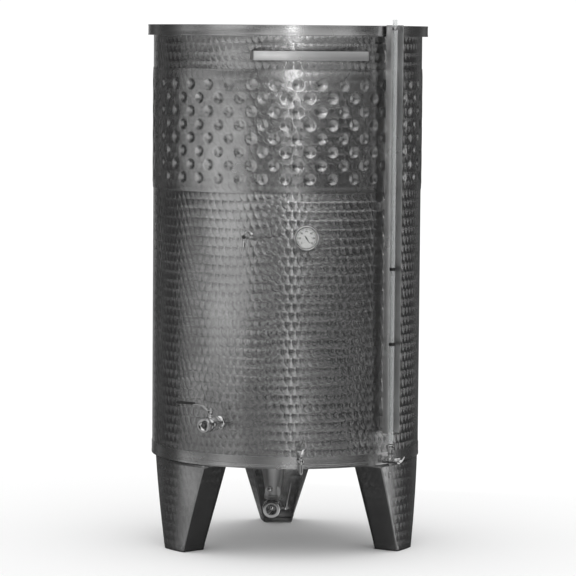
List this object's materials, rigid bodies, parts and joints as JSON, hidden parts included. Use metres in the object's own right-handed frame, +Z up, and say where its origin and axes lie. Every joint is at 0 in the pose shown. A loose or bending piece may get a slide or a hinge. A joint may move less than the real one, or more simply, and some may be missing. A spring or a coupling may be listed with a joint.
{
  "type": "vertical storage tank",
  "caption": "Round open-topped steel tank on folded sheet legs, with a dimpled cooling jacket, drain valves, taps, a dial thermometer and a level gauge.",
  "frame": {"origin": "at the floor, in the middle of the overall box; the shell's axis stands 24.15 mm behind it, at Y +0.02415", "axes": "+Z up along the shell; -Y towards the front, where the taps are; +X to the right seen from the front"},
  "size_m": [0.9954, 1.0436, 1.865],
  "materials": {
    "stainless_sheet": "marbled stainless sheet",
    "polished_steel": "polished",
    "dial_white": "printed white",
    "black_plastic": "satin",
    "clear_tube": "clear"
  },
  "bodies": {
    "tank": {"shell_wall_01": "stainless_sheet", "shell_wall_02": "stainless_sheet", "shell_wall_03": "stainless_sheet", "shell_wall_04": "stainless_sheet", "shell_wall_05": "stainless_sheet", "shell_wall_06": "stainless_sheet", "shell_wall_07": "stainless_sheet", "shell_wall_08": "stainless_sheet", "shell_wall_09": "stainless_sheet", "shell_wall_10": "stainless_sheet", "shell_wall_11": "stainless_sheet", "shell_wall_12": "stainless_sheet", "cooling_jacket": "stainless_sheet", "tank_bottom": "stainless_sheet", "drain_sump": "stainless_sheet", "drain_elbow": "stainless_sheet", "leg_front_left": "stainless_sheet", "leg_front_right": "stainless_sheet", "leg_back": "stainless_sheet", "ladder_rail": "stainless_sheet", "gauge_guard": "stainless_sheet", "gauge_bracket_lower": "stainless_sheet", "gauge_bracket_upper": "stainless_sheet", "rim_band": "polished_steel", "base_band": "polished_steel", "thermometer_socket": "polished_steel", "thermometer_case": "polished_steel", "sample_tap_body": "polished_steel", "partial_drain_nipple": "polished_steel", "partial_drain_valve": "polished_steel", "partial_drain_outlet": "polished_steel", "base_tap_body": "polished_steel", "drain_valve": "polished_steel", "drain_outlet": "polished_steel", "gauge_union_nut": "polished_steel", "gauge_valve_body": "polished_steel", "thermometer_dial": "dial_white", "gauge_clip": "black_plastic", "gauge_tube": "clear_tube"},
    "sample_lever": {"sample_tap_lever": "polished_steel"},
    "partial_lever": {"partial_drain_lever": "stainless_sheet", "partial_drain_grip": "black_plastic"},
    "base_handle": {"base_tap_handle": "polished_steel"},
    "drain_handle": {"drain_lever": "stainless_sheet"},
    "gauge_handle": {"gauge_valve_handle": "polished_steel"}
  },
  "joints": [
    {"name": "sample_tap_turn", "type": "hinge", "parent": "tank", "child": "sample_lever", "pos_m": [-0.13686, -0.47959, 1.1306], "axis": [0, 0, 1], "range_deg": [0, 90]},
    {"name": "partial_drain_turn", "type": "hinge", "parent": "tank", "child": "partial_lever", "pos_m": [-0.25647, -0.44821, 0.5108], "axis": [0, 0, 1], "range_deg": [0, 90]},
    {"name": "base_tap_turn", "type": "hinge", "parent": "tank", "child": "base_handle", "pos_m": [0.05629, -0.5114, 0.3638], "axis": [0, 0, 1], "range_deg": [-90, 90]},
    {"name": "drain_turn", "type": "hinge", "parent": "tank", "child": "drain_handle", "pos_m": [0.00014, -0.12822, 0.1335], "axis": [1, 0, 0], "range_deg": [0, 90]},
    {"name": "gauge_valve_turn", "type": "hinge", "parent": "tank", "child": "gauge_handle", "pos_m": [0.39619, -0.37204, 0.3385], "axis": [0.7071, -0.7071, 0], "range_deg": [0, 90]}
  ]
}
